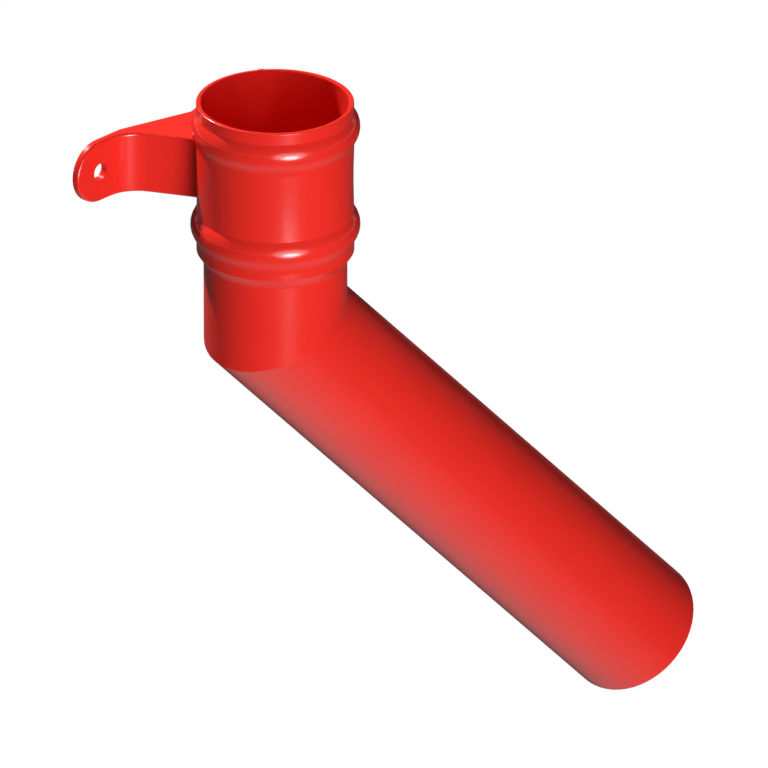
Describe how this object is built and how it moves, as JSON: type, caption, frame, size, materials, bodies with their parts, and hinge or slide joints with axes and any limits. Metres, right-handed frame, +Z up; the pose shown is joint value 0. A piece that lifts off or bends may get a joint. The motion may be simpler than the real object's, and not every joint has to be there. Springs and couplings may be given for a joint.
{
  "type": "downpipe elbow",
  "caption": "Cast round downpipe elbow: beaded socket with two wall ears above, and a long tail that slants away at 45 degrees.",
  "frame": {"origin": "centre of the socket's mouth, level with its rim", "axes": "+Z up the pipe, out of the socket; +Y from the pipe to the wall; +X along the wall, the way the tail runs as it drops"},
  "size_m": [0.3797, 0.1181, 0.4277],
  "materials": {
    "red_coating": "gloss"
  },
  "bodies": {
    "root": {"elbow": "red_coating"}
  },
  "joints": []
}
